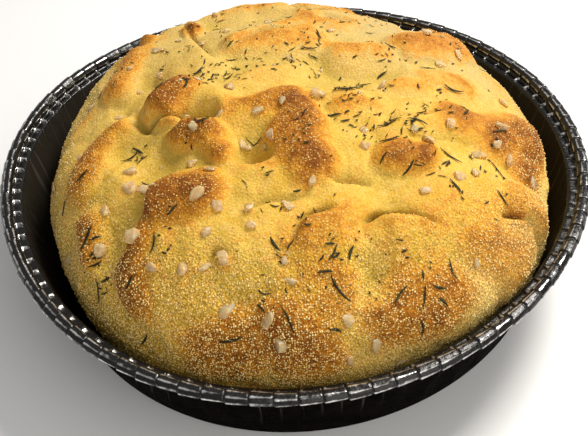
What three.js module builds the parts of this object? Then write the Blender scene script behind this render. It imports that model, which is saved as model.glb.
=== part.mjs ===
// Round focaccia baked in a disposable crimped pan: one loaf, the pan that holds it, coarse salt
// crystals and dried herb needles lying on the crust. Millimetres, +Z up, origin under the centre
// of the pan's flat floor. -Y is the front of the loaf.
import * as THREE from 'three';
import { mergeVertices } from 'three/addons/utils/BufferGeometryUtils.js';

// ---- driving dimensions -------------------------------------------------------------------
const RIM_RADIUS = 116;          // outside of the rolled rim, a nine inch pan
const PAN_HEIGHT = 41.5;         // underside to the top of the rolled rim
const FOOT_RADIUS = 101.3;       // outside of the wall just above the floor
const FOIL = 0.7;                // thickness given to the foil
const LEDGE_INNER_RADIUS = 108;  // where the wall turns out into the flat ledge
const LEDGE_HEIGHT = 37.2;
const ROLL_HALF_WIDTH = 2.3;     // the rolled rim's section, across
const ROLL_HALF_HEIGHT = 2.0;    // and up
const ROLL_RADIUS = RIM_RADIUS - ROLL_HALF_WIDTH;
const ROLL_HEIGHT = PAN_HEIGHT - ROLL_HALF_HEIGHT;
const FOOT_ROUND = 2.2;          // rounding where the wall meets the floor
const LEDGE_ROUND = 1.0;         // and where it turns out into the ledge
const PLEATS = 99;               // crimps around the rim
const PLEAT_START = -1.64;       // angle of the first crimp, radians
const PLEAT_PINCH = 0.8;         // section of the roll at a crimp, against 1 between crimps
const CRIMP_SHARE = 0.3;         // part of a pleat's pitch from its crimp to the full roll

const LOAF_CENTRE = { x: 1.6, y: -3 };
const LOAF_RADIUS = 100.5;       // mean radius at the shoulder
const SHOULDER_HEIGHT = 31;      // widest level of the loaf
const DOME_HEIGHT = 45;          // rise of the smooth dome above the shoulder
const DOME_FLATNESS = 0.8;       // below 1 flattens the top of the dome
const LOAF_BOTTOM = 1.2;         // underside of the loaf, just clear of the foil
const BOTTOM_TAPER = 0.05;       // share of the radius lost from shoulder to underside
const BOTTOM_ROUND = 6;          // radius of the loaf's lower edge
const WALL_CLEARANCE = 1.0;      // between the loaf and the pan's wall where they come closest
const GAP = 0.3;                 // clearance between pieces that rest on each other

const HEADINGS = 92;             // points around the loaf
const DOME_RINGS = 25;           // rings of points from the top to the shoulder
const SIDE_RINGS = 5;

// ---- crust relief -------------------------------------------------------------------------
// Each lump swells along a line over the crust, seen from above: from, to, reach and rise.
const LUMPS = [
  [[-42, -13], [-37, -6], 11, 8.5],         // left knuckle
  [[-34, -6], [-25, -15], 11, 5],           // its right flank
  [[-34, -29], [-26, -31], 9, 6.5],         // knob in front of it
  [[-25, -35], [-22, -41], 7, 4.5],
  [[-13, -23], [2, -18], 11, 5],            // middle ridge, along its back
  [[5, -23], [9, -37], 10, 6],              // and round to its front
  [[2, -34], [8, -48], 12, 5.5],
  [[-40, -57], [-29, -57], 12, 7],          // front left knuckle
  [[-43, -59], [-49, -68], 9, 4.5],         // its edge, down the side
  [[-51, -73], [-47, -84], 9, 4],
  [[-40, -66], [-37, -87], 18, 3],          // its broad front
  [[-64, -19], [-59, -17], 8, 4],           // left side
  [[-74, -35], [-67, -22], 9, 3.5],
  [[-67, -53], [-67, -61], 8, 4],
  [[-81, -17], [-80, -42], 11, 1.5],
  [[-72, -64], [-63, -76], 11, 1],
  [[-54, 47], [-56, 40], 6, 4.5],           // back left peaks
  [[-57, 36], [-64, 12], 10, 4.5],
  [[-37, 53], [-35, 44], 5.5, 5],
  [[-52, 29], [-32, 15], 16, 2],            // smooth sheet between them
  [[-13, 23], [8, 26], 12, 4],              // step across the back
  [[8, 49], [20, 47], 14, 1.5],
  [[-19, -8], [7, 2], 8, 2.5],              // band in front of it
  [[25, 13], [35, 12], 11, 3.5],
  [[50, 22], [66, 28], 12, 5],              // back right edge
  [[57, -2], [65, -2], 10, 3],
  [[43, -9], [49, -10], 8, 2.5],
  [[13, -13], [26, -14], 7, 2.5],           // lip in front of the bowl
  [[24, -24], [31, -27], 9, 4.5],
  [[38, -33], [57, -26], 9, 3],
  [[60, -25], [67, -25], 10, 4],
  [[74, -28], [85, -22], 13, 4.5],          // right edge
  [[87, -27], [84, -40], 10, 2],
  [[36, -46], [45, -46], 8.5, 5],           // round knob, right of the middle
  [[27, -77], [41, -75], 14, 4.5],          // front swells
  [[7, -78], [18, -75], 14, 4.5],
  [[1, -102], [11, -89], 16, 3],
  [[64, -73], [72, -72], 15, 5.5],          // front right lobe
  [[76, -57], [83, -55], 12, 5.5],          // lobe behind it
  [[30, -96], [46, -89], 15, 3.5],
  [[46, -91], [58, -84], 14, 4.5],
  [[-5, -100], [3, -102], 14, 3],
  [[-26, -100], [-18, -100], 13, 2.5],
  [[48, -66], [64, -61], 16, 2.5],
  [[-23, -76], [-3, -81], 18, 3],
  [[-16, -51], [-5, -52], 9, 1.5],          // rim in front of the finger hole
  [[-66, 54], [-60, 60], 10, 0.5],          // the back
  [[-20, 70], [-4, 76], 15, 1.5],
  [[26, 72], [34, 70], 11, 0.5],
  [[62, 56], [72, 42], 10, 4],
  [[-80, 24], [-82, 8], 12, 0.5],
  [[-34, 86], [-16, 92], 14, 1],
  [[12, 90], [30, 88], 13, 3.5],
  [[56, 76], [66, 66], 9, 1.5],
  [[84, 16], [88, 4], 12, 0.5],
];

// Each hollow sinks in the same way: from, to, reach and depth.
const HOLLOWS = [
  [[-12, -42], [-11, -42], 7.5, 9],         // finger hole
  [[-15, -26], [-10, -32], 8, 3],
  [[18, 2], [32, 3], 16, 5],                // broad bowl
  [[26, -28], [33, -28], 8, 4],
  [[-29, -20], [-25, -20], 4, 4.5],         // pockets under the left knuckle
  [[-52, -15], [-45, -19], 6, 2.5],
  [[-54, -27], [-45, -41], 12, 3],
  [[-52, -56], [-60, -65], 10, 4.5],        // valley beside the front left knuckle
  [[24, -75], [24, -90], 8, 2.5],           // between the front swells
  [[20, -56], [29, -56], 7, 1.2],
  [[79, -59], [84, -60], 5, 5],             // notch between the right lobes
  [[-51, 8], [-60, 1], 10, 2.5],
  [[-2, 54], [-30, 56], 12, 3.5],           // the back
  [[4, 82], [12, 68], 9, 5],
  [[50, 44], [60, 52], 9, 4.5],
  [[-72, 40], [-56, 44], 8, 4],
  [[-50, 84], [-40, 78], 8, 4],
  [[44, 84], [36, 78], 8, 3.5],
  [[20, 54], [26, 50], 7, 4],
  [[-90, 3], [-80, 26], 15, 4],             // flats round the back
  [[-65, 61], [-44, 73], 12, 5],
  [[-32, 84], [-22, 88], 12, 2],
  [[35, 73], [53, 66], 12, 10],
  [[84, 30], [96, 4], 12, 0.8],
  [[101, -12], [99, -34], 14, 4],
];
const LUMP_PROFILE = 1;          // power of a lump's flank: 1 is a parabola, more is softer
const HOLLOW_PROFILE = 1.3;

const MEAN_PLAN = [[2, -0.034, -0.026], [3, 0.017, 0]];         // loaf's outline: order, cos, sin
const RIM_PLAN = [[2, -0.0215, -0.0188], [3, 0.0114, 0.0071]];  // bent pan's outline
const RIM_WARP = [[2, 1.9, 1.0], [3, -0.8, -0.3]];              // and its rim's rise and fall, mm

// ---- salt and herbs -----------------------------------------------------------------------
// Each salt crystal: where it lies on the crust, its width and its turn in degrees.
const SALT = [
  [-88, -20, 6, 20], [-80, -52, 5.5, 70], [-50, -69, 8, 100], [-64, -62, 6, 0], [-63, -51, 4.5, 60],
  [-54, -37, 5.2, 15], [-54, -45, 5.5, 80], [-48, -48, 5.5, 40], [-74, -23, 4.2, 50], [-47, 13, 5.2, 30],
  [-32, -43, 5.2, 10], [-23, -48, 5.2, 75], [-4, -38, 5, 45], [-29, -62, 6.2, 110], [-23, -65, 5, 20],
  [-13, -66, 4.8, 0], [-26, -73, 4.6, 25], [-21, -82, 5, 65], [-34, -82, 5, 35], [-21, -94, 6, 80],
  [-8, -99, 5.2, 95], [-5, -104, 5, 15], [0, -65, 5.2, 50], [8, -58, 4.4, 90], [12, -17, 5.5, 70],
  [27, -42, 4.4, 30], [48, -40, 7, 130], [36, -9, 5, 25], [44, -60, 4.4, 5], [57, -53, 5.2, 140],
  [78, -39, 6, 60], [76, -27, 5.5, 20], [63, -49, 4.8, 0], [61, 12, 5, 10], [82, -4, 5.5, 0],
];

// Each herb needle: where its middle lies, its length, its heading and its bend in degrees.
const HERBS = [
  [-11, -35, 7.5, -25, 30], [-34, -8, 6, 80, 40], [-20, 1, 5, 60, -30], [4, 11, 6, 85, 10],
  [15, 25, 6, 105, 15], [11, 17, 6.5, 0, 20], [55, 7, 6.5, 10, -20], [36, -34, 8.5, 12, 25],
  [45, -32, 7, -10, -30], [22, -16, 8, 0, 15], [35, -42, 7, 12, 20], [55, -44, 8, -35, 25],
  [72, -44, 8, -48, -20], [40, -53, 6, 45, 20], [13, -93, 8.5, -50, 35], [32, -93, 6.5, 50, -20],
  [50, -84, 6, -72, 25], [40, -93, 6, 75, 20], [-2, -99, 7, -60, -15], [-68, -59, 7, 55, 20],
  [-43, -72, 6.5, 75, 45], [-55, -29, 7.5, 28, 15],
];
const SALT_FLATNESS = 0.5;       // height of a crystal against its width
const NEEDLE_WIDTH = 1.0;
const NEEDLE_THICKNESS = 0.5;
const NEEDLE_STEPS = 5;

// ---- materials ----------------------------------------------------------------------------
const CRUST_MATERIAL = new THREE.MeshStandardMaterial({ color: 0xd9a948, roughness: 0.75, metalness: 0 });
const PAN_MATERIAL = new THREE.MeshStandardMaterial({ color: 0x1b1b1d, roughness: 0.35, metalness: 0.4 });
const SALT_MATERIAL = new THREE.MeshStandardMaterial({ color: 0xefe0d0, roughness: 0.3, metalness: 0 });
const HERB_MATERIAL = new THREE.MeshStandardMaterial({ color: 0x2f3420, roughness: 0.85, metalness: 0 });

// ---- helpers ------------------------------------------------------------------------------
const TURN = 2 * Math.PI;
const radians = THREE.MathUtils.degToRad;

function wave(terms, angle) {
  return terms.reduce((sum, [n, c, s]) => sum + c * Math.cos(n * angle) + s * Math.sin(n * angle), 0);
}

// A repeatable pseudo-random number from 0 to 1 for each pair of whole numbers.
function dice(seed, index) {
  const value = Math.sin(seed * 127.1 + index * 311.7) * 43758.5453;
  return value - Math.floor(value);
}

// A closed body from a grid of rings with one pole point at each end.
function closedRings(rings, firstPole, lastPole) {
  const across = rings[0].length;
  const positions = [firstPole, ...rings.flat(), lastPole].flatMap((p) => [p.x, p.y, p.z]);
  const last = positions.length / 3 - 1;
  const at = (ring, k) => 1 + ring * across + (k % across);
  const faces = [];
  for (let k = 0; k < across; k += 1) {
    faces.push(0, at(0, k), at(0, k + 1));
    for (let ring = 0; ring < rings.length - 1; ring += 1) {
      faces.push(at(ring, k), at(ring + 1, k), at(ring + 1, k + 1));
      faces.push(at(ring, k), at(ring + 1, k + 1), at(ring, k + 1));
    }
    faces.push(at(rings.length - 1, k), last, at(rings.length - 1, k + 1));
  }
  const geometry = new THREE.BufferGeometry();
  geometry.setAttribute('position', new THREE.Float32BufferAttribute(positions, 3));
  geometry.setIndex(faces);
  return geometry;
}

// ---- loaf ---------------------------------------------------------------------------------
function loafPoint(share, height, angle) {
  const radius = LOAF_RADIUS * (1 + wave(MEAN_PLAN, angle)) * share;
  return new THREE.Vector3(
    LOAF_CENTRE.x + radius * Math.cos(angle),
    LOAF_CENTRE.y + radius * Math.sin(angle),
    height,
  );
}

// The smooth loaf: tilt 0 is the top of the dome, 90 degrees the shoulder.
function domePoint(tilt, angle) {
  const share = Math.sin(tilt) ** DOME_FLATNESS;
  return loafPoint(share, SHOULDER_HEIGHT + DOME_HEIGHT * Math.cos(tilt), angle);
}

function domeHeight(x, y) {
  const angle = Math.atan2(y - LOAF_CENTRE.y, x - LOAF_CENTRE.x);
  const full = LOAF_RADIUS * (1 + wave(MEAN_PLAN, angle));
  const share = Math.min(1, Math.hypot(x - LOAF_CENTRE.x, y - LOAF_CENTRE.y) / full);
  return SHOULDER_HEIGHT + DOME_HEIGHT * Math.sqrt(1 - share ** (2 / DOME_FLATNESS));
}

function onDome([x, y]) {
  return new THREE.Vector3(x, y, domeHeight(x, y));
}

function crustLine([from, to, reach, size]) {
  return { line: new THREE.Line3(onDome(from), onDome(to)), reach, size };
}

const LUMP_LINES = LUMPS.map(crustLine);
const HOLLOW_LINES = HOLLOWS.map(crustLine);

// What a lump or hollow gives a point: its full size on its line, nothing beyond its reach.
function swell({ line, reach, size }, point, profile) {
  const away = line.closestPointToPoint(point, true, new THREE.Vector3()).distanceTo(point) / reach;
  return away < 1 ? size * (1 - away * away) ** profile : 0;
}

// The highest lump at each point shows, and every hollow is taken out of it.
function relief(point) {
  const lump = Math.max(...LUMP_LINES.map((line) => swell(line, point, LUMP_PROFILE)));
  return HOLLOW_LINES.reduce((height, line) => height - swell(line, point, HOLLOW_PROFILE), lump);
}

// The pan's wall stops the dough from swelling any further out.
function heldByPan(point) {
  const angle = Math.atan2(point.y, point.x);
  const rise = point.z / LEDGE_HEIGHT;
  const round = THREE.MathUtils.lerp(FOOT_RADIUS - FOIL, LEDGE_INNER_RADIUS, rise);
  const wall = round * (1 + wave(RIM_PLAN, angle)) - WALL_CLEARANCE;
  const scale = Math.min(1, wall / Math.hypot(point.x, point.y));
  return point.set(point.x * scale, point.y * scale, point.z);
}

function domeNormal(tilt, angle) {
  const step = 0.01;
  const down = domePoint(tilt + step, angle).sub(domePoint(tilt - step, angle));
  const around = domePoint(tilt, angle + step).sub(domePoint(tilt, angle - step));
  return down.cross(around).normalize();
}

function domeRing(tilt) {
  return Array.from({ length: HEADINGS }, (_, k) => {
    const angle = (k / HEADINGS) * TURN;
    const point = domePoint(tilt, angle);
    return heldByPan(point.addScaledVector(domeNormal(tilt, angle), relief(point)));
  });
}

// Below the shoulder the relief fades out and the side draws in to a rounded lower edge.
function sideRing(depth) {
  const height = THREE.MathUtils.lerp(SHOULDER_HEIGHT, LOAF_BOTTOM + BOTTOM_ROUND, depth);
  return Array.from({ length: HEADINGS }, (_, k) => {
    const angle = (k / HEADINGS) * TURN;
    const shoulder = loafPoint(1, SHOULDER_HEIGHT, angle);
    const outward = new THREE.Vector3(Math.cos(angle), Math.sin(angle), 0);
    const point = loafPoint(1 - BOTTOM_TAPER * depth * depth, height, angle);
    return heldByPan(point.addScaledVector(outward, relief(shoulder) * (1 - depth)));
  });
}

function bottomRing(turn) {
  const inset = (BOTTOM_ROUND * (1 - Math.cos(turn))) / LOAF_RADIUS;
  const height = LOAF_BOTTOM + BOTTOM_ROUND * (1 - Math.sin(turn));
  return Array.from({ length: HEADINGS }, (_, k) => (
    loafPoint(1 - BOTTOM_TAPER - inset, height, (k / HEADINGS) * TURN)));
}

function loafGeometry() {
  const rings = [];
  for (let ring = 1; ring <= DOME_RINGS; ring += 1) {
    rings.push(domeRing((ring / DOME_RINGS) * (Math.PI / 2)));
  }
  for (let ring = 1; ring <= SIDE_RINGS; ring += 1) rings.push(sideRing(ring / SIDE_RINGS));
  rings.push(bottomRing(Math.PI / 4), bottomRing(Math.PI / 2));
  const top = loafPoint(0, SHOULDER_HEIGHT + DOME_HEIGHT, 0);
  top.z += relief(top);
  return closedRings(rings, top, loafPoint(0, LOAF_BOTTOM, 0));
}

// ---- pan ----------------------------------------------------------------------------------
// The pan's section from the underside, out over the rolled rim and back in to the floor, as
// [radius, height, whether a crimp pinches it].
function panSection() {
  const roll = [-90, -20, 40, 90, 140, 200].map((degrees) => [
    ROLL_RADIUS + ROLL_HALF_WIDTH * Math.cos(radians(degrees)),
    ROLL_HEIGHT + ROLL_HALF_HEIGHT * Math.sin(radians(degrees)),
    true,
  ]);
  return [
    [FOOT_RADIUS - FOOT_ROUND, 0, false],
    [FOOT_RADIUS, FOOT_ROUND, false],
    [LEDGE_INNER_RADIUS + FOIL, LEDGE_HEIGHT - LEDGE_ROUND, false],
    ...roll,
    [LEDGE_INNER_RADIUS + LEDGE_ROUND, LEDGE_HEIGHT, false],
    [LEDGE_INNER_RADIUS, LEDGE_HEIGHT - LEDGE_ROUND, false],
    [FOOT_RADIUS - FOIL, FOOT_ROUND + FOIL / 2, false],
    [FOOT_RADIUS - FOOT_ROUND - FOIL / 2, FOIL, false],
  ];
}

function panPoint([radius, height, crimped], angle, pinch) {
  const scale = crimped ? pinch : 1;
  const reach = crimped ? ROLL_RADIUS + (radius - ROLL_RADIUS) * scale : radius;
  const level = crimped ? ROLL_HEIGHT + (height - ROLL_HEIGHT) * scale : height;
  const bent = reach * (1 + wave(RIM_PLAN, angle));
  const warp = wave(RIM_WARP, angle) * (level / PAN_HEIGHT) ** 2;
  return new THREE.Vector3(bent * Math.cos(angle), bent * Math.sin(angle), level + warp);
}

// Each pleat has a column of points at its crimp and one where the roll is full.
function panGeometry() {
  const pitch = TURN / PLEATS;
  const columns = Array.from({ length: PLEATS }, (_, k) => PLEAT_START + k * pitch).flatMap((angle) => [
    { angle, pinch: PLEAT_PINCH },
    { angle: angle + CRIMP_SHARE * pitch, pinch: 1 },
  ]);
  const rings = panSection().map((point) => columns.map(({ angle, pinch }) => panPoint(point, angle, pinch)));
  return closedRings(rings.reverse(), new THREE.Vector3(0, 0, FOIL), new THREE.Vector3(0, 0, 0));
}

// ---- resting things on the crust ----------------------------------------------------------
const loaf = new THREE.Mesh(loafGeometry());
loaf.name = 'loaf';

const caster = new THREE.Raycaster();

// Where a straight line along "direction" first meets the loaf: its point and its face's normal.
function crustHit(start, direction) {
  caster.set(start, direction);
  const [{ point, face }] = caster.intersectObject(loaf);
  return { point, normal: face.normal };
}

function crustAt(x, y) {
  return crustHit(new THREE.Vector3(x, y, 2 * (SHOULDER_HEIGHT + DOME_HEIGHT)), new THREE.Vector3(0, 0, -1));
}

// How far a point stands off the crust, measured along "normal".
function clearance(point, normal) {
  const away = point.clone().addScaledVector(normal, LOAF_RADIUS);
  return away.distanceTo(crustHit(away, normal.clone().negate()).point) - LOAF_RADIUS;
}

// ---- salt crystals ------------------------------------------------------------------------
function crystalGeometry(width, index) {
  const rough = new THREE.IcosahedronGeometry(width / 2, 0);
  rough.deleteAttribute('normal');
  rough.deleteAttribute('uv');
  const geometry = mergeVertices(rough);
  const corners = geometry.getAttribute('position');
  for (let k = 0; k < corners.count; k += 1) {
    const stretch = 0.8 + 0.35 * dice(k, index);
    corners.setXYZ(
      k,
      corners.getX(k) * stretch,
      corners.getY(k) * stretch * 0.8,
      corners.getZ(k) * stretch * SALT_FLATNESS,
    );
  }
  return geometry;
}

function saltCrystal([x, y, width, turn], index) {
  const crystal = new THREE.Mesh(crystalGeometry(width, index), SALT_MATERIAL);
  crystal.name = `salt_${String(index + 1).padStart(2, '0')}`;
  const { point, normal } = crustAt(x, y);
  const upright = new THREE.Quaternion().setFromUnitVectors(new THREE.Vector3(0, 0, 1), normal);
  const spin = new THREE.Quaternion().setFromAxisAngle(new THREE.Vector3(0, 0, 1), radians(turn));
  crystal.quaternion.copy(upright).multiply(spin);
  crystal.position.copy(point);
  crystal.updateMatrixWorld(true);
  const corners = crystal.geometry.getAttribute('position');
  const lowest = Math.min(...Array.from({ length: corners.count }, (_, k) => {
    const corner = new THREE.Vector3().fromBufferAttribute(corners, k);
    return clearance(corner.applyMatrix4(crystal.matrixWorld), normal);
  }));
  crystal.position.addScaledVector(normal, GAP - lowest);
  return crystal;
}

// ---- herb needles -------------------------------------------------------------------------
// A needle is a flat strip that follows the crust along an arc and tapers to a point at each end.
function herbNeedle([x, y, length, heading, bend], index) {
  const place = (share, side, lift) => {
    const angle = radians(heading + bend * share);
    const ahead = new THREE.Vector2(Math.cos(angle), Math.sin(angle)).multiplyScalar(share * length);
    const { point, normal } = crustAt(x + ahead.x, y + ahead.y);
    const across = new THREE.Vector3(-Math.sin(angle), Math.cos(angle), 0).projectOnPlane(normal).normalize();
    return point.addScaledVector(normal, lift).addScaledVector(across, side);
  };
  const middle = GAP + NEEDLE_THICKNESS / 2;
  const rings = Array.from({ length: NEEDLE_STEPS }, (_, k) => {
    const share = (k + 1) / (NEEDLE_STEPS + 1) - 0.5;
    const half = (NEEDLE_WIDTH / 2) * Math.cos(share * Math.PI);
    return [
      place(share, half, middle),
      place(share, 0, middle - NEEDLE_THICKNESS / 2),
      place(share, -half, middle),
      place(share, 0, middle + NEEDLE_THICKNESS / 2),
    ];
  });
  const needle = new THREE.Mesh(
    closedRings(rings, place(-0.5, 0, middle), place(0.5, 0, middle)),
    HERB_MATERIAL,
  );
  needle.name = `herb_${String(index + 1).padStart(2, '0')}`;
  return needle;
}

// ---- assembly -----------------------------------------------------------------------------
loaf.material = CRUST_MATERIAL;

const pan = new THREE.Mesh(panGeometry(), PAN_MATERIAL);
pan.name = 'pan';

const group = new THREE.Group();
group.add(pan, loaf, ...SALT.map(saltCrystal), ...HERBS.map(herbNeedle));

export default group;
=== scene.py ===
import math

import bmesh
import bpy
import numpy as np
from mathutils import Euler, Matrix, Vector
from mathutils.bvhtree import BVHTree


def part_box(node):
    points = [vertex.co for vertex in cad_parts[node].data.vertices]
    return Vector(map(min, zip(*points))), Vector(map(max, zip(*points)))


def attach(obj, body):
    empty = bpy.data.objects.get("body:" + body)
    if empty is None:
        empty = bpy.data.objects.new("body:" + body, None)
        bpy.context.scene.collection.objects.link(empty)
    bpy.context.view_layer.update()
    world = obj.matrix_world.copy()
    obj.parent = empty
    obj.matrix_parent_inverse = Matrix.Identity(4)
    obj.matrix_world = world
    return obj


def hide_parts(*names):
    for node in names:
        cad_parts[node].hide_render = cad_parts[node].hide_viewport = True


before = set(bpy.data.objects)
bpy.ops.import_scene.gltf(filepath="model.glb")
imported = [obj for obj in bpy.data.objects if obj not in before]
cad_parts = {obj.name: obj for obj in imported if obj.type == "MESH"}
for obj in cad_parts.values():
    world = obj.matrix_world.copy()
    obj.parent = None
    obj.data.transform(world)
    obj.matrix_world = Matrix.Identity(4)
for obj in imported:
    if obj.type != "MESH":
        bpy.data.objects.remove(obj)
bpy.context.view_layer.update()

MM = 0.001                  # sizes below are in millimetres, and meshes are in metres
TURN = 2 * math.pi

# ---- camera ----
CAMERA_PLACE = (5.3, -278.5, 256.6)
CAMERA_DIP = 42.16          # degrees that it looks down
CAMERA_ROLL = -3.87         # degrees
CAMERA_LENS = 54.4
CAMERA_SHIFT = -0.021       # of the frame's width

# ---- pan, as the CAD part has it ----
RIM_RADIUS = 116.0          # mean, to the outside of the roll
PAN_HEIGHT = 41.5
FOOT_RADIUS = 101.3
FOIL = 0.7
FOOT_ROUND = 2.2            # outside, where the wall meets the floor
LEDGE_INNER_RADIUS = 108.0
LEDGE_HEIGHT = 37.2
ROLL_HALF_WIDTH = 2.3
ROLL_HALF_HEIGHT = 2.0
ROLL_RADIUS = RIM_RADIUS - ROLL_HALF_WIDTH
ROLL_HEIGHT = PAN_HEIGHT - ROLL_HALF_HEIGHT
PLEATS = 99
PLEAT_START = -1.64         # angle of one crimp, in radians
RIM_PLAN = ((2, -0.0215, -0.0188), (3, 0.0114, 0.0071))  # rim's outline: order, cos, sin
RIM_WARP = ((2, 1.9, 1.0), (3, -0.8, -0.3))  # its rise and fall, in mm

# ---- loaf, as the CAD part has it ----
LOAF_CENTRE = (1.6, -3.0)
LOAF_RADIUS = 100.5
LOAF_PLAN = ((2, -0.034, -0.026), (3, 0.017, 0.0))
SHOULDER_HEIGHT = 31.0
DOME_HEIGHT = 45.0          # from the shoulder to the top
DOME_FLATNESS = 0.8
LOAF_BOTTOM = 1.2
BOTTOM_TAPER = 0.05
BOTTOM_ROUND = 6.0
WALL_CLEARANCE = 1.0
HOLLOW_PROFILE = 1.3        # power of a hollow's flank: 1 is a parabola, more is softer

# ---- crust, finer than the CAD part ----
BROWN_STRENGTH = 1.05       # at a lump's middle, against the value in LUMPS
BROWN_REACH = 0.82          # how far the brown goes, against the lump's own reach
BROAD_DRIFT = (13, 2.2)     # size of the blobs that move the lumps' outlines, and how far
FINE_DRIFT = (5.5, 0.8)
TROUGH_WIDTH = 1.1          # half width of the dip in a fold
FOLD_SHADE_WIDTH = 0.9          # half width of its line of painted shade
DEEP_FOLD = 5               # a fold this deep has the darkest painted shade
SWELLS = (17, 0.9)          # size and height of the crust's unevenness, from broad to fine
RIPPLES = (5, 0.32)
PIMPLES = (1.7, 0.17)
GRIT = (1.0, 0.1)
RUFFLES = (9, 0.5)          # and on the loaf's side
CAVITY_REACH = 9            # grid squares each way that a point's height is compared with
TOP_CELLS = 272             # squares along each side of the grid over the dome
SIDE_RINGS = 12             # from the shoulder down
BOTTOM_RINGS = 6            # round the lower edge

# Lumps of the crust: from, to, reach, rise, and how far the oven browned them.
LUMPS = (
    ((-42, -13), (-37, -6), 11, 8.5, 1.0),      # left knuckle
    ((-34, -6), (-25, -15), 11, 5.0, 0.1),      # its right flank
    ((-34, -29), (-26, -31), 9, 6.5, 1.0),      # knob in front of it
    ((-25, -35), (-22, -41), 7, 4.5, 0.8),
    ((-13, -23), (2, -18), 11, 5.0, 0.9),       # middle ridge, along its back
    ((5, -23), (9, -37), 10, 6.0, 1.0),         # and round to its front
    ((2, -34), (8, -48), 12, 5.5, 1.0),
    ((-40, -57), (-29, -57), 12, 7.0, 1.0),     # front left knuckle
    ((-43, -59), (-49, -68), 9, 4.5, 0.9),      # its edge, down the side
    ((-51, -73), (-47, -84), 9, 4.0, 1.0),
    ((-40, -66), (-37, -87), 18, 3.0, 0.15),    # its broad front
    ((-64, -19), (-59, -17), 8, 4.0, 0.8),      # left side
    ((-74, -35), (-67, -22), 9, 3.5, 0.8),
    ((-67, -53), (-67, -61), 8, 4.0, 0.9),
    ((-81, -17), (-80, -42), 11, 1.5, 0.0),
    ((-72, -64), (-63, -76), 11, 1.0, 0.0),
    ((-54, 47), (-56, 40), 6, 4.5, 1.1),        # back left peaks
    ((-57, 36), (-64, 12), 10, 4.5, 0.8),
    ((-37, 53), (-35, 44), 5.5, 5.0, 1.0),
    ((-52, 29), (-32, 15), 16, 2.0, 0.0),       # smooth sheet between them
    ((-13, 23), (8, 26), 12, 4.0, 0.5),         # step across the back
    ((8, 49), (20, 47), 14, 1.5, 0.7),
    ((-19, -8), (7, 2), 8, 2.5, 0.1),           # band in front of it
    ((25, 13), (35, 12), 11, 3.5, 0.55),
    ((50, 22), (66, 28), 12, 5.0, 0.9),         # back right edge
    ((57, -2), (65, -2), 10, 3.0, 0.4),
    ((43, -9), (49, -10), 8, 2.5, 0.45),
    ((13, -13), (26, -14), 7, 2.5, 0.0),        # lip in front of the bowl
    ((24, -24), (31, -27), 9, 4.5, 0.7),
    ((38, -33), (57, -26), 9, 3.0, 0.1),
    ((60, -25), (67, -25), 10, 4.0, 0.9),
    ((74, -28), (85, -22), 13, 4.5, 1.2),       # right edge
    ((87, -27), (84, -40), 10, 2.0, 1.1),
    ((36, -46), (45, -46), 8.5, 5.0, 0.9),      # round knob, right of the middle
    ((27, -77), (41, -75), 14, 4.5, 0.15),      # front swells
    ((7, -78), (18, -75), 14, 4.5, 0.45),
    ((1, -102), (11, -89), 16, 3.0, 0.6),
    ((64, -73), (72, -72), 15, 5.5, 0.7),       # front right lobe
    ((76, -57), (83, -55), 12, 5.5, 0.7),       # lobe behind it
    ((30, -96), (46, -89), 15, 3.5, 1.0),
    ((46, -91), (58, -84), 14, 4.5, 0.0),
    ((-5, -100), (3, -102), 14, 3.0, 1.1),
    ((-26, -100), (-18, -100), 13, 2.5, 1.1),
    ((48, -66), (64, -61), 16, 2.5, 0.3),
    ((-23, -76), (-3, -81), 18, 3.0, 0.0),
    ((-16, -51), (-5, -52), 9, 1.5, 0.0),       # rim in front of the finger hole
    ((-66, 54), (-60, 60), 10, 0.5, 0.8),       # the back
    ((-20, 70), (-4, 76), 15, 1.5, 0.5),
    ((26, 72), (34, 70), 11, 0.5, 0.8),
    ((62, 56), (72, 42), 10, 4.0, 0.8),
    ((-80, 24), (-82, 8), 12, 0.5, 0.6),
    ((-34, 86), (-16, 92), 14, 1.0, 0.9),
    ((12, 90), (30, 88), 13, 3.5, 0.8),
    ((56, 76), (66, 66), 9, 1.5, 0.9),
    ((84, 16), (88, 4), 12, 0.5, 0.4),
)

# Hollows of the crust: from, to, reach and depth.
HOLLOWS = (
    ((-12, -42), (-11, -42), 7.5, 9.0),         # finger hole
    ((-15, -26), (-10, -32), 8, 3.0),
    ((18, 2), (32, 3), 16, 5.0),                # broad bowl
    ((26, -28), (33, -28), 8, 4.0),
    ((-29, -20), (-25, -20), 4, 4.5),           # pockets under the left knuckle
    ((-52, -15), (-45, -19), 6, 2.5),
    ((-54, -27), (-45, -41), 12, 3.0),
    ((-52, -56), (-60, -65), 10, 4.5),          # valley beside the front left knuckle
    ((24, -75), (24, -90), 8, 2.5),             # between the front swells
    ((20, -56), (29, -56), 7, 1.2),
    ((79, -59), (84, -60), 5, 5.0),             # notch between the right lobes
    ((-51, 8), (-60, 1), 10, 2.5),
    ((-2, 54), (-30, 56), 12, 3.5),             # the back
    ((4, 82), (12, 68), 9, 5.0),
    ((50, 44), (60, 52), 9, 4.5),
    ((-72, 40), (-56, 44), 8, 4.0),
    ((-50, 84), (-40, 78), 8, 4.0),
    ((44, 84), (36, 78), 8, 3.5),
    ((20, 54), (26, 50), 7, 4.0),
    ((-90, 3), (-80, 26), 15, 4.0),             # flats round the back
    ((-65, 61), (-44, 73), 12, 5.0),
    ((-32, 84), (-22, 88), 12, 2.0),
    ((35, 73), (53, 66), 12, 10.0),
    ((84, 30), (96, 4), 12, 0.8),
    ((101, -12), (99, -34), 14, 4.0),
)

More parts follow.
